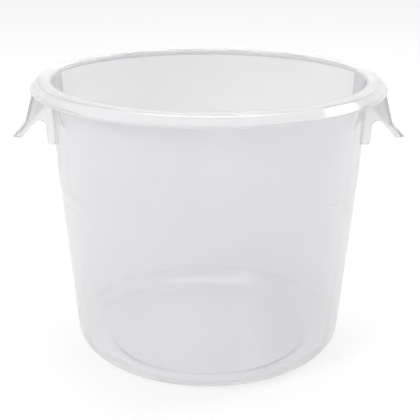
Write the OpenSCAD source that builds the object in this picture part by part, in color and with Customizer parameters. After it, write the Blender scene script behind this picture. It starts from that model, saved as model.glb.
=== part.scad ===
// Round dough proofing tub, moulded in one piece from milky polypropylene.
// Origin: on the resting plane, on the tub's own axis. +Z is up, and the hand grips lie on -X and +X.
// Every length is in millimetres and every angle in degrees.

/* [Tub] */
// Height from the resting plane to the top of the rim
tub_h = 201; // [150:1:260]
// Outer diameter that the lower wall would have at the resting plane
base_d = 195.7; // [140:0.1:260]
// Draft of the lower wall
lower_draft = 4.88; // [2:0.02:7]
// Draft of the upper wall
upper_draft = 3.05; // [1:0.05:5]
// Thickness of the wall, measured across
wall_t = 2; // [1.4:0.1:3.2]
// Radius of the outer heel, where the wall turns into the base
heel_r = 16; // [10:0.5:22]

/* [Base] */
// Thickness of the base panel
base_t = 2.2; // [1.6:0.1:3.4]
// How far the base panel is lifted clear of the resting plane
base_lift = 1.2; // [0.6:0.1:2]
// Width of the flat ring that the tub stands on
foot_w = 7; // [4:0.5:12]

/* [Stacking step] */
// Height of the lower edge of the step, as a share of the tub's height
step_share = 0.578; // [0.45:0.002:0.72]
// Height of the step's upright band
step_band_h = 5; // [2:0.5:8]
// Height of the slope above that band
step_slope_h = 6; // [4:0.5:10]
// How far the slope widens the wall, on the radius
step_out = 1.25; // [0.6:0.05:2]

/* [Rim] */
// Reach of the rim from the outer wall to the edge of its lip
rim_reach = 13.1; // [11:0.1:18]
// Thickness of the flat crest
crest_t = 2.2; // [2:0.1:2.8]
// Radius of the crest's inner edge
crest_inner_r = 1.5; // [0.5:0.1:1.9]
// Radius between the crest and the sloping skirt
crest_outer_r = 3; // [1:0.1:4]
// Thickness of the skirt
skirt_t = 2; // [1.4:0.1:2.4]
// Fall from the top of the rim to the upper edge of the lip
skirt_drop = 5.2; // [4.6:0.1:7]
// Height of the lip
lip_h = 1.8; // [1.2:0.1:4]
// Thickness of the lip
lip_t = 2.4; // [1.6:0.1:3.2]

/* [Hand grips] */
// Width of a grip over both of its webs
grip_w = 52; // [36:1:80]
// Thickness of the grip plate
grip_t = 2.4; // [1.8:0.1:3]
// Lean of the grip plate from the vertical
grip_lean = 15.3; // [5:0.1:22]
// Lean of the flared lower edge from the vertical
flare_lean = 42.6; // [30:0.1:55]
// Fall from the top of the rim to the line where the flare begins
bend_drop = 28.8; // [22:0.1:40]
// Height of the flared edge
flare_h = 10; // [6:0.1:16]
// Depth of the turned-in side edges of the plate
edge_depth = 5.1; // [4.8:0.1:8]
// Radius of the plate's outer corners
grip_corner_r = 4; // [2.6:0.1:4.4]
// Radius of the flare's lower edge
tip_r = 0.6; // [0.4:0.1:1.2]

/* [Webs] */
// Thickness of a web
web_t = 2.2; // [1.6:0.1:2.5]
// Width of the leg that runs down the wall below each web
leg_w = 5.5; // [3.5:0.1:7]
// Fall from the top of the rim to the lower end of the legs
leg_drop = 43.8; // [38:0.1:60]
// Radius of the arch between the leg and the flare
arch_r = 4.1; // [2:0.1:5]
// Radius of the leg's lower corner
leg_corner_r = 2; // [0.5:0.1:3]

/* [Hidden] */

plastic = [0.90, 0.92, 0.93, 0.8];
$fn = 180;

// Unit vector along a vector
function unit(v) = v / norm(v);

// Point where the line from p along u meets the line from q along v
function meet(p, u, q, v) = p + cross(q - p, v) / cross(u, v) * u;

// Rounding of a corner p between the directions u and v: its centre, and where it leaves the side u
function half_angle(u, v) = acos(unit(u) * unit(v)) / 2;
function round_centre(p, u, v, r) = p + r / sin(half_angle(u, v)) * unit(unit(u) + unit(v));
function round_end(p, u, v, r) = p + r / tan(half_angle(u, v)) * unit(u);

// What that rounding takes from the corner
module corner_waste(p, u, v, r) {
    centre = round_centre(p, u, v, r);
    outward = 2 * (p - centre);
    ends = [round_end(p, u, v, r), round_end(p, v, u, r)];
    difference() {
        polygon([ends[0], ends[1], ends[1] + outward, ends[0] + outward]);
        translate(centre) circle(r);
    }
}

// Outer and inner radius of the wall at a height
step_z0 = step_share * tub_h;
step_band_z = step_z0 + step_band_h;
step_z1 = step_band_z + step_slope_h;
base_r = base_d / 2;
step_r0 = base_r + step_z0 * tan(lower_draft);
step_r1 = step_r0 + step_out;
function wall_out(z) = z <= step_z0 ? base_r + z * tan(lower_draft)
    : z <= step_band_z ? step_r0
    : z < step_z1 ? step_r0 + (z - step_band_z) / step_slope_h * step_out
    : step_r1 + (z - step_z1) * tan(upper_draft);
function wall_in(z) = wall_out(z) - wall_t;

// The heel's arc touches the resting plane and the lower wall
up_wall = [sin(lower_draft), cos(lower_draft)];
across_wall = [cos(lower_draft), -sin(lower_draft)];
heel_inner_r = heel_r - wall_t * cos(lower_draft);
heel_c = round_centre([base_r, 0], [-1, 0], up_wall, heel_r);
heel_top_out = heel_c + heel_r * across_wall;
heel_top_in = heel_c + heel_inner_r * across_wall;
heel_floor_z = heel_c[1] - heel_inner_r;

// The base panel and its foot ring
foot_r1 = heel_c[0];
foot_r0 = foot_r1 - foot_w;
foot_slope = 2 * base_lift;
panel_top_z = base_lift + base_t;

// The rim, as points of its section
lip_edge_r = 0.8;
crest_cut_past = 0.5;
crest_z = tub_h - crest_t;
lip_z1 = tub_h - skirt_drop;
lip_z0 = lip_z1 - lip_h;
rim_r = wall_out(crest_z) + rim_reach;
lip_r0 = rim_r - lip_t;
skirt_dir = [1, -1];
skirt_edge = meet([0, tub_h], [1, 0], [rim_r, lip_z1], skirt_dir);
skirt_inner = [rim_r, lip_z1] - skirt_t * unit([1, 1]);
crest_cut = round_end(skirt_edge, skirt_dir, [-1, 0], crest_outer_r) + crest_cut_past * unit(skirt_dir);
cavity_corner = meet([0, crest_z], [1, 0], skirt_inner, skirt_dir);
lip_top_in = meet([lip_r0, 0], [0, 1], skirt_inner, skirt_dir);
mouth_edge = [wall_in(tub_h), tub_h];
up_rim = [sin(upper_draft), cos(upper_draft)];

// The hand grips, as points of their section in the X-Z plane
grip_y = grip_w / 2;
grip_inset = 0.5;
corner_turn = 15;
grip_top = [sqrt(pow(rim_r, 2) - pow(grip_y, 2)) - grip_inset, lip_z0];
bend_z = tub_h - bend_drop;
bend = [grip_top[0] + (lip_z0 - bend_z) * tan(grip_lean), bend_z];
flare_z = bend_z - flare_h;
mitre_lean = (grip_lean + flare_lean) / 2;
down_plate = [sin(grip_lean), -cos(grip_lean)];
out_plate = [cos(grip_lean), sin(grip_lean)];
down_flare = [sin(flare_lean), -cos(flare_lean)];
out_flare = [cos(flare_lean), sin(flare_lean)];
mitre_in = meet(bend - edge_depth * out_plate, down_plate, bend - edge_depth * out_flare, down_flare);
tip = meet(bend, down_flare, [0, flare_z], [1, 0]);
grip_reach = 2.5 * (bend_drop + flare_h);

// The webs, as points of their section in the same plane
leg_z = tub_h - leg_drop;
leg_foot = [sqrt(pow(wall_out(leg_z), 2) - pow(grip_y, 2)) + leg_w, leg_z];
arch_top = meet(leg_foot, up_rim, mitre_in, down_flare);
arch_c = round_centre(arch_top, -up_rim, down_flare, arch_r);
arch_leg_end = round_end(arch_top, -up_rim, down_flare, arch_r);
arch_flare_end = round_end(arch_top, down_flare, -up_rim, arch_r);

// A closed ring with the given section, radius across and height up
module ring(section) {
    color(plastic) rotate_extrude() polygon(section);
}

// Thin panel, lifted clear of the resting plane
module base_panel() {
    ring([
        [0, base_lift], [foot_r0 - foot_slope, base_lift],
        [foot_r0 - foot_slope, panel_top_z], [0, panel_top_z]]);
}

// Flat ring that the tub stands on, with the slope that lifts the panel
module foot_ring() {
    ring([
        [foot_r0 - foot_slope, base_lift], [foot_r0, 0], [foot_r1, 0],
        [foot_r1, heel_floor_z], [foot_r0, heel_floor_z], [foot_r0 - foot_slope, panel_top_z]]);
}

// Quarter turn from the base to the wall, with the inner and outer arcs about one centre
module heel() {
    reach = 2 * heel_r;
    color(plastic) rotate_extrude() intersection() {
        translate(heel_c) difference() {
            circle(heel_r);
            circle(heel_inner_r);
        }
        polygon([heel_c, heel_c - [0, reach], heel_c + [reach, -reach], heel_c + reach * across_wall]);
    }
}

// Lower wall, a plain cone
module lower_wall() {
    ring([heel_top_in, heel_top_out, [step_r0, step_z0], [wall_in(step_z0), step_z0]]);
}

// Step that a nested tub comes to rest on, an upright band and a slope above it
module stacking_step() {
    ring([
        [step_r0 - wall_t, step_z0], [step_r0, step_z0], [step_r0, step_band_z], [step_r1, step_z1],
        [step_r1 - wall_t, step_z1], [step_r0 - wall_t, step_band_z]]);
}

// Upper wall, a steeper cone
module upper_wall() {
    ring([
        [step_r1 - wall_t, step_z1], [step_r1, step_z1],
        [wall_out(crest_z), crest_z], [wall_in(crest_z), crest_z]]);
}

// Flat top of the rim, rounded at its inner edge and where it turns down
module rim_crest() {
    color(plastic) rotate_extrude() difference() {
        polygon([
            [wall_in(crest_z), crest_z], [wall_out(crest_z), crest_z], cavity_corner,
            crest_cut, skirt_edge, mouth_edge]);
        corner_waste(skirt_edge, [-1, 0], skirt_dir, crest_outer_r);
        corner_waste(mouth_edge, [1, 0], -up_rim, crest_inner_r);
    }
}

// Sloping skirt that hides the open underside of the rim
module rim_skirt() {
    ring([cavity_corner, crest_cut, [rim_r, lip_z1], lip_top_in]);
}

// Upright lip round the edge of the skirt
module rim_lip() {
    color(plastic) rotate_extrude() difference() {
        polygon([lip_top_in, [rim_r, lip_z1], [rim_r, lip_z0], [lip_r0, lip_z0]]);
        corner_waste([rim_r, lip_z0], [-1, 0], [0, 1], lip_edge_r);
    }
}

// Everything that the tub and its rim fill, and the space above the rim's underside
module tub_space() {
    above = 2 * tub_h;
    beyond = 2 * rim_r;
    rotate_extrude() polygon([
        [0, 0], [base_r, 0], [step_r0, step_z0], [step_r0, step_band_z], [step_r1, step_z1],
        [wall_out(crest_z), crest_z],
        cavity_corner, lip_top_in, [lip_r0, lip_z0],
        [beyond, lip_z0], [beyond, above], [0, above]]);
}

// Section across the grip: a block behind X = 0, as wide as given, with its two front corners rounded
module fronted_block(half_w, r) {
    corner = [for (turn = [0:corner_turn:90]) [r * cos(turn) - r, half_w - r + r * sin(turn)]];
    other_corner = [for (i = [len(corner) - 1:-1:0]) [corner[i][0], -corner[i][1]]];
    back = [[-grip_reach, half_w], [-grip_reach, -half_w]];
    polygon(concat(corner, back, other_corner));
}

// A section drawn both along the leaning plate and along the flare, so that they mitre at the bend
module along_grip() {
    for (lean = [grip_lean, flare_lean])
        translate([bend[0], 0, bend[1]]) rotate([0, -lean, 0])
            linear_extrude(grip_reach, center = true) children();
}

// What the flat lower edge and its rounding take from the flare
module below_flare() {
    rotate([90, 0, 0]) linear_extrude(2 * grip_w, center = true) {
        translate([0, flare_z - tub_h]) square(tub_h);
        corner_waste(tip, [-1, 0], -down_flare, tip_r);
    }
}

// Hood-like grip plate on the +X side: it leans out, then flares to an edge for the fingers
module grip_plate() {
    inner_y = grip_y - web_t;
    color(plastic) difference() {
        along_grip() fronted_block(grip_y, grip_corner_r);
        along_grip() translate([-grip_t, 0]) fronted_block(inner_y, grip_corner_r - web_t);
        along_grip() translate([-edge_depth - grip_reach, -grip_w]) square([grip_reach, 2 * grip_w]);
        below_flare();
        tub_space();
    }
}

// Flat web at the front of the +X side that ties the grip to the wall, with its leg and arch
module web_plate() {
    plate_back = meet(mitre_in, down_plate, [0, tub_h], [1, 0]);
    behind_wall = step_r0 - grip_y;
    color(plastic) difference() {
        translate([0, web_t - grip_y, 0]) rotate([90, 0, 0]) linear_extrude(web_t) difference() {
            polygon([
                [behind_wall, leg_z], leg_foot, arch_leg_end, arch_c, arch_flare_end,
                mitre_in, plate_back, [behind_wall, tub_h]]);
            translate(arch_c) circle(arch_r);
            corner_waste(leg_foot, [-1, 0], up_rim, leg_corner_r);
        }
        tub_space();
    }
}

module right_grip() grip_plate();
module right_front_web() web_plate();
module right_rear_web() mirror([0, 1, 0]) web_plate();
module left_grip() mirror([1, 0, 0]) grip_plate();
module left_front_web() mirror([1, 0, 0]) web_plate();
module left_rear_web() mirror([1, 0, 0]) mirror([0, 1, 0]) web_plate();

base_panel();
foot_ring();
heel();
lower_wall();
stacking_step();
upper_wall();
rim_crest();
rim_skirt();
rim_lip();
left_grip();
left_front_web();
left_rear_web();
right_grip();
right_front_web();
right_rear_web();
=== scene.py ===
"""Looks of the dough proofing tub: one milky moulding on a white sweep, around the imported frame."""

import logging
import math
from dataclasses import dataclass, field
from enum import Enum

import bmesh
import bpy
from mathutils import Matrix, Vector


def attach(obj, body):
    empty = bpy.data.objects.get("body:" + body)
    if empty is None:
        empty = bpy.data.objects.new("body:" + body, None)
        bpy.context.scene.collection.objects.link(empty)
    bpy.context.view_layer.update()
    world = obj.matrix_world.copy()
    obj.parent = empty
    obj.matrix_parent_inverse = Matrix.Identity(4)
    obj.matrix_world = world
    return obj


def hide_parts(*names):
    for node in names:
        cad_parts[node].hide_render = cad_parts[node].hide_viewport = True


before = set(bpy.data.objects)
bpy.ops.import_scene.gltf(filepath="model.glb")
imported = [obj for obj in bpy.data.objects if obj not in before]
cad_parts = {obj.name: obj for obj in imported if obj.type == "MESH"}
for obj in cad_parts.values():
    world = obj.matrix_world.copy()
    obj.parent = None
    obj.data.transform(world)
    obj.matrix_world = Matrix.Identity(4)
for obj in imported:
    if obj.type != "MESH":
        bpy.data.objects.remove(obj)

MM = 0.001
# Millimetres within which two heights are the same, and within which a point lies on the wall
SAME_HEIGHT = 1e-4
ON_WALL = 1e-3
# Metres within which two vertices become one
MERGE = 1e-7
RESIN_IOR = 1.49
Point = tuple[float, float]


class Skin(Enum):
    """Which face of a moulded zone a polygon belongs to."""

    SURFACE = 0
    SEAM = 1


class Side(Enum):
    """The side of the tub that a grip sits on."""

    LEFT = -1
    RIGHT = 1


class Edge(Enum):
    """The end of a grip that a web closes."""

    FRONT = -1
    REAR = 1


def line_meet(p: Vector, u: Vector, q: Vector, v: Vector) -> Vector:
    """Finds where two lines of a section cross.

    Args:
        p: A point of the first line.
        u: The first line's direction.
        q: A point of the second line.
        v: The second line's direction.

    Returns:
        The crossing point.
    """
    across = u.x * v.y - u.y * v.x
    gap = q - p
    return p + u * ((gap.x * v.y - gap.y * v.x) / across)


def rounded(p: Vector, u: Vector, v: Vector, radius: float, steps: int = 8) -> list[Vector]:
    """Rounds a corner of a section.

    Args:
        p: The sharp corner.
        u: Direction from the corner back along the side that comes first.
        v: Direction from the corner along the side that follows.
        radius: Radius of the rounding.
        steps: How many straight pieces the arc has.

    Returns:
        The arc's points, from the first side to the second.
    """
    a, b = u.normalized(), v.normalized()
    half = math.acos(max(-1.0, min(1.0, a.dot(b)))) / 2
    centre = p + (a + b).normalized() * (radius / math.sin(half))
    first = p + a * (radius / math.tan(half)) - centre
    last = p + b * (radius / math.tan(half)) - centre
    turn = math.atan2(first.x * last.y - first.y * last.x, first.dot(last))
    return [centre + Matrix.Rotation(turn * i / steps, 2) @ first for i in range(steps + 1)]


@dataclass(frozen=True)
class TubSizes:
    """The tub's driving sizes in millimetres, the same as the CAD part's."""

    height: float = 201.0
    base_r: float = 97.85
    lower_draft: float = math.radians(4.88)
    upper_draft: float = math.radians(3.05)
    wall: float = 2.0
    heel_r: float = 16.0
    base_t: float = 2.2
    base_lift: float = 1.2
    foot_w: float = 7.0
    step_share: float = 0.578
    step_band: float = 5.0
    step_slope: float = 6.0
    step_out: float = 1.25
    rim_reach: float = 13.1
    crest_t: float = 2.2
    crest_inner_r: float = 1.5
    crest_outer_r: float = 3.0
    crest_cut_past: float = 0.5
    skirt_t: float = 2.0
    skirt_drop: float = 5.2
    lip_h: float = 1.8
    lip_t: float = 2.4
    lip_edge_r: float = 0.8

    @property
    def step_z0(self) -> float:
        """Height of the step's lower edge."""
        return self.step_share * self.height

    @property
    def step_z1(self) -> float:
        """Height of the step's upper edge."""
        return self.step_z0 + self.step_band + self.step_slope

    @property
    def crest_z(self) -> float:
        """Height of the rim's underside."""
        return self.height - self.crest_t

    @property
    def lip_z1(self) -> float:
        """Height of the lip's upper edge."""
        return self.height - self.skirt_drop

    @property
    def lip_z0(self) -> float:
        """Height of the lip's lower edge."""
        return self.lip_z1 - self.lip_h

    @property
    def rim_r(self) -> float:
        """Radius over the lip."""
        return self.outside(self.crest_z) + self.rim_reach

    @property
    def lip_r0(self) -> float:
        """Inner radius of the lip."""
        return self.rim_r - self.lip_t

    def outside(self, z: float) -> float:
        """Gives the wall's outer radius.

        Args:
            z: Height above the resting plane.

        Returns:
            The radius at that height.
        """
        foot = self.base_r + self.step_z0 * math.tan(self.lower_draft)
        if z <= self.step_z0:
            return self.base_r + z * math.tan(self.lower_draft)
        if z <= self.step_z0 + self.step_band:
            return foot
        if z < self.step_z1:
            return foot + (z - self.step_z0 - self.step_band) / self.step_slope * self.step_out
        return foot + self.step_out + (z - self.step_z1) * math.tan(self.upper_draft)

    def inside(self, z: float) -> float:
        """Gives the wall's inner radius at a height."""
        return self.outside(z) - self.wall

    @property
    def skirt_point(self) -> Vector:
        """A point of the skirt's inner face."""
        return Vector((self.rim_r, self.lip_z1)) - Vector((1, 1)).normalized() * self.skirt_t

    def under_rim(self, radius: float) -> float:
        """Gives the height of the rim's underside.

        Args:
            radius: Distance from the tub's axis.

        Returns:
            Height of the first rim surface met from below.
        """
        if radius >= self.lip_r0:
            return self.lip_z0
        edge = self.skirt_point
        return min(self.crest_z, edge.x + edge.y - radius)


@dataclass(frozen=True)
class GripSizes:
    """The hand grips' driving sizes in millimetres, the same as the CAD part's."""

    width: float = 52.0
    plate_t: float = 2.4
    plate_lean: float = math.radians(15.3)
    flare_lean: float = math.radians(42.6)
    bend_drop: float = 28.8
    flare_h: float = 10.0
    edge_depth: float = 5.1
    corner_r: float = 4.0
    tip_r: float = 0.6
    inset: float = 0.5
    web_t: float = 2.2
    leg_w: float = 5.5
    leg_drop: float = 43.8
    arch_r: float = 4.1
    leg_corner_r: float = 2.0
    bend_r: float = 3.0


@dataclass(frozen=True)
class Finish:
    """A finish of the milky plastic.

    The same resin is tinted lighter on the rim and grips and darker on the base, as painted light and
    shade, so each slot has its own values.
    """

    slot: str
    # Base colour; the tint differences between slots are painted light and shade
    tint: tuple[float, float, float]
    clear: float
    roughness: float
    cloud: float
    relief: float = 0.06
    relief_depth: float = 0.0002

    def material(self, surface: bpy.types.NodeTree) -> bpy.types.Material:
        """Builds the finish's material.

        Args:
            surface: The shared group of moulded surface effects.

        Returns:
            The material, named for its slot.
        """
        made = bpy.data.materials.new(self.slot)
        made.use_nodes = True
        tree = made.node_tree
        shader = next(n for n in tree.nodes if n.type == "BSDF_PRINCIPLED")
        shader.inputs["IOR"].default_value = RESIN_IOR
        shader.inputs["Transmission Weight"].default_value = self.clear
        effects = tree.nodes.new("ShaderNodeGroup")
        effects.node_tree = surface
        effects.inputs["Tint"].default_value = (*self.tint, 1)
        effects.inputs["Cloud"].default_value = self.cloud
        effects.inputs["Sheen Level"].default_value = self.roughness
        place = tree.nodes.new("ShaderNodeTexCoord")
        tree.links.new(place.outputs["Object"], effects.inputs["Place"])
        tree.links.new(effects.outputs["Color"], shader.inputs["Base Color"])
        tree.links.new(effects.outputs["Roughness"], shader.inputs["Roughness"])
        bump = tree.nodes.new("ShaderNodeBump")
        bump.inputs["Strength"].default_value = self.relief
        bump.inputs["Distance"].default_value = self.relief_depth
        tree.links.new(effects.outputs["Height"], bump.inputs["Height"])
        tree.links.new(bump.outputs["Normal"], shader.inputs["Normal"])
        return made


@dataclass(frozen=True)
class MouldedSurface:
    """The effects that every finish of the moulding shares: cloudy resin, flow marks and wear.

    The scales count the pattern's repeats in a metre.
    """

    cloud_scale: float = 14.0
    grain_scale: float = 420.0
    ripple_scale: float = 30.0
    scuff: float = 0.04
    grain_relief: float = 0.01

    def build(self) -> bpy.types.NodeTree:
        """Builds the node group.

        Returns:
            The group, with Tint, Cloud, Sheen Level and Place in, and Color, Roughness and Height out.
        """
        group = bpy.data.node_groups.new("moulded_surface", "ShaderNodeTree")
        face = group.interface
        face.new_socket("Tint", in_out="INPUT", socket_type="NodeSocketColor")
        face.new_socket("Cloud", in_out="INPUT", socket_type="NodeSocketFloat")
        face.new_socket("Sheen Level", in_out="INPUT", socket_type="NodeSocketFloat")
        face.new_socket("Place", in_out="INPUT", socket_type="NodeSocketVector")
        face.new_socket("Color", in_out="OUTPUT", socket_type="NodeSocketColor")
        face.new_socket("Roughness", in_out="OUTPUT", socket_type="NodeSocketFloat")
        face.new_socket("Height", in_out="OUTPUT", socket_type="NodeSocketFloat")
        given = group.nodes.new("NodeGroupInput")
        result = group.nodes.new("NodeGroupOutput")
        clouds = self._noise(group, given, self.cloud_scale, detail=3.0)
        grain = self._noise(group, given, self.grain_scale, detail=4.0)
        ripple = self._noise(group, given, self.ripple_scale, detail=0.0)
        depth = self._maths(group, "MULTIPLY", clouds, given.outputs["Cloud"])
        shade = self._maths(group, "SUBTRACT", 1.0, depth)
        tint = group.nodes.new("ShaderNodeMix")
        tint.data_type = "RGBA"
        tint.blend_type = "MULTIPLY"
        tint.inputs["Factor"].default_value = 1.0
        group.links.new(given.outputs["Tint"], tint.inputs["A"])
        group.links.new(shade, tint.inputs["B"])
        scuff = self._maths(group, "MULTIPLY", grain, self.scuff)
        rough = self._maths(group, "ADD", given.outputs["Sheen Level"], scuff)
        fine = self._maths(group, "MULTIPLY", grain, self.grain_relief)
        height = self._maths(group, "ADD", ripple, fine)
        group.links.new(tint.outputs["Result"], result.inputs["Color"])
        group.links.new(rough, result.inputs["Roughness"])
        group.links.new(height, result.inputs["Height"])
        return group

    @staticmethod
    def _noise(
        group: bpy.types.NodeTree, given: bpy.types.Node, scale: float, detail: float
    ) -> bpy.types.NodeSocket:
        """Adds a noise over the object's place.

        Args:
            group: The node group.
            given: The group's input node.
            scale: The noise's scale per metre.
            detail: The noise's detail.

        Returns:
            The noise's value.
        """
        noise = group.nodes.new("ShaderNodeTexNoise")
        noise.inputs["Scale"].default_value = scale
        noise.inputs["Detail"].default_value = detail
        group.links.new(given.outputs["Place"], noise.inputs["Vector"])
        return noise.outputs["Fac"]

    @staticmethod
    def _maths(
        group: bpy.types.NodeTree,
        operation: str,
        a: bpy.types.NodeSocket | float,
        b: bpy.types.NodeSocket | float,
    ) -> bpy.types.NodeSocket:
        """Adds one step of arithmetic.

        Args:
            group: The node group.
            operation: The Math node's operation.
            a: First number or socket.
            b: Second number or socket.

        Returns:
            The result's socket.
        """
        step = group.nodes.new("ShaderNodeMath")
        step.operation = operation
        for entry, value in zip(step.inputs, (a, b)):
            if isinstance(value, float):
                entry.default_value = value
            else:
                group.links.new(value, entry)
        return step.outputs[0]


class SeamFinish:
    """Lets light straight through where two zones of the one moulding meet."""

    def build(self) -> bpy.types.Material:
        """Builds the material, clear without bending the light.

        Returns:
            The material of the faces between zones.
        """
        made = bpy.data.materials.new("seam_inside_plastic")
        made.use_nodes = True
        shader = next(n for n in made.node_tree.nodes if n.type == "BSDF_PRINCIPLED")
        shader.inputs["Alpha"].default_value = 0.0
        shader.inputs["Roughness"].default_value = 1.0
        return made


@dataclass
class Workshop:
    """Turns bmeshes into finished pieces of the moulding."""

    finishes: dict[str, bpy.types.Material]
    seam: bpy.types.Material
    sharp_angle: float = math.radians(32)

    def piece(self, bm: bmesh.types.BMesh, node: str, slot: str) -> bpy.types.Object:
        """Makes the piece that stands for a CAD node.

        Args:
            bm: The piece's mesh in metres, freed here.
            node: The CAD node that it replaces.
            slot: The record's material slot.

        Returns:
            The finished object.
        """
        bmesh.ops.remove_doubles(bm, verts=bm.verts, dist=MERGE)
        bmesh.ops.recalc_face_normals(bm, faces=bm.faces)
        mesh = bpy.data.meshes.new(f"{node}_moulding")
        bm.to_mesh(mesh)
        bm.free()
        mesh.polygons.foreach_set("use_smooth", [True] * len(mesh.polygons))
        mesh.set_sharp_from_angle(angle=self.sharp_angle)
        mesh.materials.append(self.finishes[slot])
        mesh.materials.append(self.seam)
        made = bpy.data.objects.new(f"{node}_moulding", mesh)
        bpy.context.scene.collection.objects.link(made)
        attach(made, "root")
        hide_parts(node)
        logging.info("%s: %d faces", made.name, len(mesh.polygons))
        return made


@dataclass
class TurnedZone:
    """A zone of the tub, turned about its axis.

    The section is open where it ends on the axis, and seams numbers its sides that meet the next zone.
    """

    node: str
    slot: str
    section: list[Vector]
    seams: list[int]
    closed: bool = True
    turns: int = 288

    def build(self, workshop: Workshop) -> bpy.types.Object:
        """Spins the section into the zone.

        Args:
            workshop: Where the piece is finished.

        Returns:
            The zone's piece.
        """
        bm = bmesh.new()
        verts = [bm.verts.new((p.x * MM, 0, p.y * MM)) for p in self.section]
        for a, b in zip(verts, verts[1:]):
            bm.edges.new((a, b))
        if self.closed:
            bm.edges.new((verts[-1], verts[0]))
        bmesh.ops.spin(
            bm, geom=list(bm.verts) + list(bm.edges), cent=(0, 0, 0), axis=(0, 0, 1),
            angle=math.tau, steps=self.turns, use_merge=True)
        self._dress(bm)
        return workshop.piece(bm, self.node, self.slot)

    def _dress(self, bm: bmesh.types.BMesh) -> None:
        """Marks the faces where the next zone joins on.

        Args:
            bm: The spun zone.
        """
        for face in bm.faces:
            middle = face.calc_center_median()
            at = Vector((math.hypot(middle.x, middle.y), middle.z)) / MM
            near = min(range(len(self.section)), key=lambda i: self._off(at, i))
            face.material_index = Skin.SEAM.value if near in self.seams else Skin.SURFACE.value

    def _off(self, at: Vector, index: int) -> float:
        """Measures how far a point of the section lies from one of its sides.

        Args:
            at: The point.
            index: The side's number, counted from its first point.

        Returns:
            The distance.
        """
        a, b = self.section[index], self.section[(index + 1) % len(self.section)]
        along = b - a
        share = max(0.0, min(1.0, (at - a).dot(along) / max(along.length_squared, 1e-12)))
        return (a + along * share - at).length


@dataclass
class Tub:
    """The base, the wall and the rim."""

    sizes: TubSizes
    arc_steps: int = 12

    def zones(self) -> list[TurnedZone]:
        """Works out every turned zone's section.

        Returns:
            The zones from the base to the lip.
        """
        return [*self._base(), *self._wall(), *self._rim()]

    def _base(self) -> list[TurnedZone]:
        """Works out the base panel, the foot ring and the heel.

        Returns:
            The three zones, from the axis outwards.
        """
        s = self.sizes
        up_wall = Vector((math.sin(s.lower_draft), math.cos(s.lower_draft)))
        across = Vector((math.cos(s.lower_draft), -math.sin(s.lower_draft)))
        outer = rounded(Vector((s.base_r, 0)), Vector((-1, 0)), up_wall, s.heel_r, self.arc_steps * 2)
        centre = Vector((outer[0].x, s.heel_r))
        shrink = (s.heel_r - s.wall * math.cos(s.lower_draft)) / s.heel_r
        inner = [centre + (p - centre) * shrink for p in outer]
        self.heel_top = (centre + across * s.heel_r * shrink, outer[-1])
        foot_r1, floor_z = outer[0].x, inner[0].y
        foot_r0 = foot_r1 - s.foot_w
        panel_r = foot_r0 - 2 * s.base_lift
        panel_z = s.base_lift + s.base_t
        return [
            TurnedZone("base_panel", "base_plastic", [
                Vector((0, s.base_lift)), Vector((panel_r, s.base_lift)),
                Vector((panel_r, panel_z)), Vector((0, panel_z))], [1], closed=False),
            TurnedZone("foot_ring", "base_plastic", [
                Vector((panel_r, s.base_lift)), Vector((foot_r0, 0)), Vector((foot_r1, 0)),
                Vector((foot_r1, floor_z)), Vector((foot_r0, floor_z)), Vector((panel_r, panel_z))],
                [2, 5]),
            TurnedZone("heel", "base_plastic", [*outer, *reversed(inner)],
                [len(outer) - 1, 2 * len(outer) - 1]),
        ]

    def _wall(self) -> list[TurnedZone]:
        """Works out the lower wall, the step and the upper wall.

        Returns:
            The three zones, from below.
        """
        s = self.sizes
        band_z = s.step_z0 + s.step_band
        inner, outer = self.heel_top
        step_r0, step_r1 = s.outside(s.step_z0), s.outside(s.step_z1)
        return [
            TurnedZone("lower_wall", "wall_plastic", [
                inner, outer, Vector((step_r0, s.step_z0)),
                Vector((step_r0 - s.wall, s.step_z0))], [0, 2]),
            TurnedZone("stacking_step", "wall_plastic", [
                Vector((step_r0 - s.wall, s.step_z0)), Vector((step_r0, s.step_z0)),
                Vector((step_r0, band_z)), Vector((step_r1, s.step_z1)),
                Vector((step_r1 - s.wall, s.step_z1)), Vector((step_r0 - s.wall, band_z))], [0, 3]),
            TurnedZone("upper_wall", "wall_plastic", [
                Vector((step_r1 - s.wall, s.step_z1)), Vector((step_r1, s.step_z1)),
                Vector((s.outside(s.crest_z), s.crest_z)),
                Vector((s.inside(s.crest_z), s.crest_z))], [0, 2]),
        ]

    def _rim(self) -> list[TurnedZone]:
        """Works out the crest, the skirt and the lip.

        Returns:
            The three zones, from the mouth outwards.
        """
        s = self.sizes
        down = Vector((1, -1)).normalized()
        lip_top = Vector((s.rim_r, s.lip_z1))
        edge = line_meet(Vector((0, s.height)), Vector((1, 0)), lip_top, down)
        cavity = line_meet(Vector((0, s.crest_z)), Vector((1, 0)), s.skirt_point, down)
        lip_in = line_meet(Vector((s.lip_r0, 0)), Vector((0, 1)), s.skirt_point, down)
        up_rim = Vector((math.sin(s.upper_draft), math.cos(s.upper_draft)))
        turned = rounded(edge, down, Vector((-1, 0)), s.crest_outer_r, self.arc_steps)
        cut = turned[0] + down * s.crest_cut_past
        mouth = rounded(Vector((s.inside(s.height), s.height)), Vector((1, 0)), -up_rim,
            s.crest_inner_r, self.arc_steps)
        lip_edge = rounded(Vector((s.rim_r, s.lip_z0)), Vector((0, 1)), Vector((-1, 0)),
            s.lip_edge_r, self.arc_steps // 2)
        return [
            TurnedZone("rim_crest", "rim_plastic", [
                Vector((s.inside(s.crest_z), s.crest_z)), Vector((s.outside(s.crest_z), s.crest_z)),
                cavity, cut, *turned, *mouth], [0, 2]),
            TurnedZone("rim_skirt", "rim_plastic", [cavity, cut, lip_top, lip_in], [0, 2]),
            TurnedZone("rim_lip", "rim_plastic", [
                lip_in, lip_top, *lip_edge, Vector((s.lip_r0, s.lip_z0))], [0]),
        ]


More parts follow.
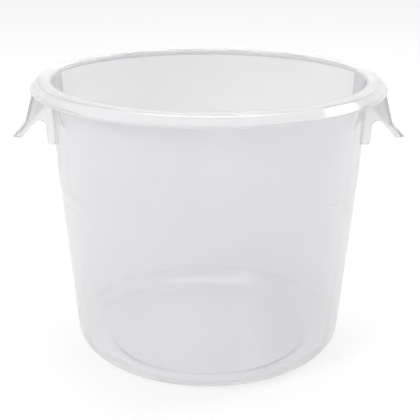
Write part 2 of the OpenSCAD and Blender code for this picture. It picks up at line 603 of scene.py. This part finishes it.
@dataclass
class Grip:
    """One hand grip: a hood-like plate and the two webs that tie it to the wall."""

    side: Side
    tub: TubSizes
    sizes: GripSizes
    name: str = field(init=False)
    corner_steps: int = 6
    flat_steps: int = 24
    bend_steps: int = 4
    arch_steps: int = 12
    wall_steps: int = 10
    tip_steps: int = 3
    tip_share: float = 0.8
    seat_tries: int = 12
    seat_share: float = 0.6

    def __post_init__(self) -> None:
        """Works out the points that the plate and the webs share."""
        g, t = self.sizes, self.tub
        self.name = self.side.name.lower()
        half = g.width / 2
        self.down_plate = Vector((math.sin(g.plate_lean), -math.cos(g.plate_lean)))
        self.down_flare = Vector((math.sin(g.flare_lean), -math.cos(g.flare_lean)))
        self.out_plate = Vector((math.cos(g.plate_lean), math.sin(g.plate_lean)))
        self.out_flare = Vector((math.cos(g.flare_lean), math.sin(g.flare_lean)))
        top_x = math.sqrt(t.rim_r ** 2 - half ** 2) - g.inset
        bend_z = t.height - g.bend_drop
        self.bend = Vector((top_x + (t.lip_z0 - bend_z) * math.tan(g.plate_lean), bend_z))
        self.flare_z = bend_z - g.flare_h
        self.inner_bend = line_meet(
            self.bend - self.out_plate * g.edge_depth, self.down_plate,
            self.bend - self.out_flare * g.edge_depth, self.down_flare)

    def build(self, workshop: Workshop) -> None:
        """Builds the plate and both webs.

        Args:
            workshop: Where the pieces are finished.
        """
        workshop.piece(self._plate(), f"{self.name}_grip", "grip_plastic")
        for edge in Edge:
            workshop.piece(self._web(edge), f"{self.name}_{edge.name.lower()}_web", "grip_plastic")

    def _section(self) -> list[Vector]:
        """Draws the plate's section, depth behind the face first and width second.

        Returns:
            The closed outline, from the front edge's foot round the outside and back inside.
        """
        g = self.sizes
        half = g.width / 2
        outline: list[Vector] = []
        for width, depth, radius in ((half, 0.0, g.corner_r),
                                     (half - g.web_t, g.plate_t, g.corner_r - g.web_t)):
            low = [Vector((g.edge_depth, -width))]
            low += rounded(Vector((depth, -width)), Vector((1, 0)), Vector((0, 1)), radius,
                self.corner_steps)
            middle_w = width - radius
            flat = [Vector((depth, -middle_w + 2 * middle_w * i / self.flat_steps))
                    for i in range(1, self.flat_steps)]
            high = [Vector((p.x, -p.y)) for p in reversed(low)]
            run = low + flat + high
            outline += run if depth == 0.0 else list(reversed(run))
        return outline

    def _plate(self) -> bmesh.types.BMesh:
        """Draws the plate's section down the lean and the flare.

        Returns:
            The plate's mesh.
        """
        g = self.sizes
        section = self._section()
        bm = bmesh.new()
        stations = self._stations()
        first = [bm.verts.new(self._at(stations[0], p)) for p in section]
        bm.faces.new(first)
        last = first
        for station in stations[1:]:
            end = next(f for f in last[0].link_faces if set(f.verts) == set(last))
            grown = bmesh.ops.extrude_face_region(bm, geom=[end])["geom"]
            new = [v for v in grown if isinstance(v, bmesh.types.BMVert)]
            order = {v: min(range(len(last)), key=lambda i: (last[i].co - v.co).length) for v in new}
            if last is not first:
                bmesh.ops.delete(bm, geom=[end], context="FACES_ONLY")
            last = sorted(new, key=lambda v: order[v])
            for vert, p in zip(last, section):
                vert.co = self._at(station, p)
        self._seat_top(first)
        tip = [e for e in bm.edges
               if all(abs(v.co.z / MM - self.flare_z) < SAME_HEIGHT for v in e.verts)]
        bmesh.ops.bevel(bm, geom=tip, offset=g.tip_r * MM * self.tip_share, affect="EDGES",
            segments=self.tip_steps, profile=0.5, material=-1, clamp_overlap=True)
        return bm

    def _stations(self) -> list[tuple[Vector, Vector]]:
        """Lists where the section stands along the plate.

        Returns:
            For each station the outer face's point and the section's step inwards.
        """
        g, t = self.sizes, self.tub
        up = -self.down_plate
        top = self.bend + up * ((t.crest_z - self.bend.y) / up.y)
        made = [(top, Vector((-1 / math.cos(g.plate_lean), 0)))]
        for i, p in enumerate(rounded(self.bend, up, self.down_flare, g.bend_r, self.bend_steps)):
            lean = g.plate_lean + (g.flare_lean - g.plate_lean) * i / self.bend_steps
            made.append((p, -Vector((math.cos(lean), math.sin(lean)))))
        foot = line_meet(self.bend, self.down_flare, Vector((0, self.flare_z)), Vector((1, 0)))
        made.append((foot, Vector((-1 / math.cos(g.flare_lean), 0))))
        return made

    def _at(self, station: tuple[Vector, Vector], p: Vector) -> Vector:
        """Places a point of the section.

        Args:
            station: The outer face's point and the step inwards.
            p: Depth behind the face, and width.

        Returns:
            The point in the tub's frame, in metres.
        """
        place = station[0] + station[1] * p.x
        return Vector((self.side.value * place.x, p.y, place.y)) * MM

    def _seat_top(self, verts: list[bmesh.types.BMVert]) -> None:
        """Slides the plate's upper end along its lean until it meets the rim's underside.

        Args:
            verts: The upper end's vertices.
        """
        for vert in verts:
            for _ in range(self.seat_tries):
                x, y, z = abs(vert.co.x) / MM, vert.co.y / MM, vert.co.z / MM
                drop = z - self.tub.under_rim(math.hypot(x, y))
                if abs(drop) < SAME_HEIGHT:
                    break
                slide = self.down_plate * (drop / math.cos(self.sizes.plate_lean)) * self.seat_share
                vert.co += Vector((self.side.value * slide.x, 0, slide.y)) * MM

    def _web(self, edge: Edge) -> bmesh.types.BMesh:
        """Draws one web with its leg and arch.

        Args:
            edge: The end of the grip that it closes.

        Returns:
            The web's mesh.
        """
        g, t = self.sizes, self.tub
        half = g.width / 2
        leg_z = t.height - g.leg_drop
        up_leg = Vector((math.sin(t.upper_draft), math.cos(t.upper_draft)))
        foot = Vector((math.sqrt(t.outside(leg_z) ** 2 - half ** 2) + g.leg_w, leg_z))
        apex = line_meet(foot, up_leg, self.inner_bend, self.down_flare)
        back = line_meet(self.inner_bend, self.down_plate, Vector((0, t.crest_z)), Vector((1, 0)))
        outline = rounded(foot, Vector((-1, 0)), up_leg, g.leg_corner_r, self.corner_steps)
        outline += rounded(apex, -up_leg, self.down_flare, g.arch_r, self.arch_steps)
        outline += [self.inner_bend, back]
        wall = [t.crest_z + (leg_z - t.crest_z) * i / self.wall_steps
                for i in range(self.wall_steps + 1)]
        bm = bmesh.new()
        outer_y, inner_y = edge.value * half, edge.value * (half - g.web_t)
        face_points = [self._web_point(p.x, outer_y, p.y) for p in outline]
        face_points += [self._web_point(0, outer_y, z) for z in wall]
        face = bm.faces.new([bm.verts.new(p) for p in face_points])
        grown = bmesh.ops.extrude_face_region(bm, geom=[face])["geom"]
        for vert in (v for v in grown if isinstance(v, bmesh.types.BMVert)):
            x, y, z = abs(vert.co.x) / MM, vert.co.y / MM, vert.co.z / MM
            on_wall = abs(x - self._wall_x(z, abs(y))) < ON_WALL
            vert.co = self._web_point(0 if on_wall else x, inner_y, z)
        return bm

    def _wall_x(self, z: float, y: float) -> float:
        """Gives the distance of the wall's outside from the tub's middle plane, at a height and width."""
        return math.sqrt(self.tub.outside(z) ** 2 - y ** 2)

    def _web_point(self, x: float, y: float, z: float) -> Vector:
        """Places a point of a web.

        Args:
            x: Distance out from the tub's axis, or 0 for a point on the wall.
            y: Its place across the grip.
            z: Its height.

        Returns:
            The point in metres.
        """
        out = x if x else self._wall_x(z, abs(y))
        return Vector((self.side.value * out, y, z)) * MM


@dataclass(frozen=True)
class Lamp:
    """A soft box."""

    name: str
    place: tuple[float, float, float]
    target: tuple[float, float, float]
    width: float
    height: float
    power: float

    def build(self) -> None:
        """Hangs the lamp and turns it to its target."""
        data = bpy.data.lights.new(self.name, "AREA")
        data.shape = "RECTANGLE"
        data.size, data.size_y = self.width, self.height
        data.energy = self.power
        made = bpy.data.objects.new(self.name, data)
        made.location = self.place
        towards = Vector(self.target) - Vector(self.place)
        made.rotation_euler = towards.to_track_quat("-Z", "Y").to_euler()
        bpy.context.scene.collection.objects.link(made)


@dataclass(frozen=True)
class Studio:
    """The white sweep, the soft boxes and the camera."""

    floor_half: float = 3.0
    floor_paint: tuple[float, float, float] = (0.9, 0.9, 0.9)
    floor_matt: float = 0.3
    dim_from: float = 0.55
    dim_until: float = 0.85
    dim_level: float = 0.7
    camera_distance: float = 0.67805
    camera_height: float = 0.33681
    camera_turn: float = math.radians(-0.95)
    camera_tilt: float = math.radians(90 - 19.326)
    camera_roll: float = math.radians(0.279)
    lens: float = 82.36
    shift: Point = (0.0038, 0.0012)

    def build(self) -> None:
        """Sets up the room, the lamps, the camera and the view."""
        self._world()
        self._floor()
        for lamp in (
            Lamp("key_box", (-0.9, -0.9, 1.1), (0, 0, 0.1), 0.5, 0.7, 9.0),
            Lamp("top_box", (0.0, 0.2, 1.5), (0, 0, 0.1), 1.0, 0.8, 12.0),
            Lamp("right_box", (1.2, 0.4, 0.9), (0, 0, 0.1), 0.4, 0.8, 6.0),
        ):
            lamp.build()
        self._camera()
        bpy.context.scene.view_settings.view_transform = "Standard"

    def _camera(self) -> None:
        """Places the camera at the photograph's viewing angle."""
        data = bpy.data.cameras.new("camera")
        data.lens = self.lens
        data.shift_x, data.shift_y = self.shift
        made = bpy.data.objects.new("camera", data)
        turn = Matrix.Rotation(self.camera_turn, 4, "Z")
        place = turn @ Vector((0, -self.camera_distance, self.camera_height))
        made.matrix_world = (Matrix.Translation(place) @ turn @ Matrix.Rotation(self.camera_tilt, 4, "X")
            @ Matrix.Rotation(self.camera_roll, 4, "Z"))
        bpy.context.scene.collection.objects.link(made)
        bpy.context.scene.camera = made

    def _floor(self) -> None:
        """Lays the white floor, which keeps the tub's shadow."""
        bm = bmesh.new()
        bmesh.ops.create_grid(bm, x_segments=1, y_segments=1, size=self.floor_half)
        mesh = bpy.data.meshes.new("floor")
        bm.to_mesh(mesh)
        bm.free()
        made = bpy.data.objects.new("floor", mesh)
        bpy.context.scene.collection.objects.link(made)
        white = bpy.data.materials.new("sweep_white")
        white.use_nodes = True
        tree = white.node_tree
        tree.nodes.clear()
        out = tree.nodes.new("ShaderNodeOutputMaterial")
        mix = tree.nodes.new("ShaderNodeMixShader")
        glow = tree.nodes.new("ShaderNodeEmission")
        paint = tree.nodes.new("ShaderNodeBsdfDiffuse")
        paint.inputs["Color"].default_value = (*self.floor_paint, 1)
        mix.inputs[0].default_value = self.floor_matt
        tree.links.new(glow.outputs[0], mix.inputs[1])
        tree.links.new(paint.outputs[0], mix.inputs[2])
        tree.links.new(mix.outputs[0], out.inputs[0])
        mesh.materials.append(white)

    def _world(self) -> None:
        """Lights the room: white behind the tub, greyer at the sides and behind the camera."""
        world = bpy.data.worlds.new("studio")
        bpy.context.scene.world = world
        world.use_nodes = True
        tree = world.node_tree
        back = next(n for n in tree.nodes if n.type == "BACKGROUND")
        place = tree.nodes.new("ShaderNodeTexCoord")
        split = tree.nodes.new("ShaderNodeSeparateXYZ")
        ramp = tree.nodes.new("ShaderNodeMapRange")
        ramp.inputs["From Min"].default_value = self.dim_from
        ramp.inputs["From Max"].default_value = self.dim_until
        ramp.inputs["To Min"].default_value = self.dim_level
        ramp.inputs["To Max"].default_value = 1.0
        path = tree.nodes.new("ShaderNodeLightPath")
        seen = tree.nodes.new("ShaderNodeMath")
        seen.operation = "MAXIMUM"
        tree.links.new(place.outputs["Generated"], split.inputs[0])
        tree.links.new(split.outputs["Y"], ramp.inputs["Value"])
        tree.links.new(ramp.outputs["Result"], seen.inputs[0])
        tree.links.new(path.outputs["Is Camera Ray"], seen.inputs[1])
        tree.links.new(seen.outputs[0], back.inputs["Strength"])
        back.inputs["Color"].default_value = (1, 1, 1, 1)


def main() -> None:
    """Builds the tub's looks and the studio, in order."""
    logging.basicConfig(level=logging.INFO, format="%(message)s")
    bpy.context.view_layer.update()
    surface = MouldedSurface().build()
    finishes = (
        # The rim and grip tints are lighter and the base tint darker than the wall's: painted light and
        # shade on one resin
        Finish("base_plastic", (0.918, 0.917, 0.931), 0.72, 0.07, 0.05),
        Finish("wall_plastic", (0.922, 0.92, 0.934), 0.76, 0.05, 0.04),
        Finish("rim_plastic", (0.95, 0.95, 0.957), 0.70, 0.07, 0.03),
        Finish("grip_plastic", (0.945, 0.944, 0.953), 0.72, 0.07, 0.04),
    )
    workshop = Workshop({f.slot: f.material(surface) for f in finishes}, SeamFinish().build())
    tub = TubSizes()
    for zone in Tub(tub).zones():
        zone.build(workshop)
    for side in Side:
        Grip(side, tub, GripSizes()).build(workshop)
    Studio().build()


if __name__ == "__main__":
    main()
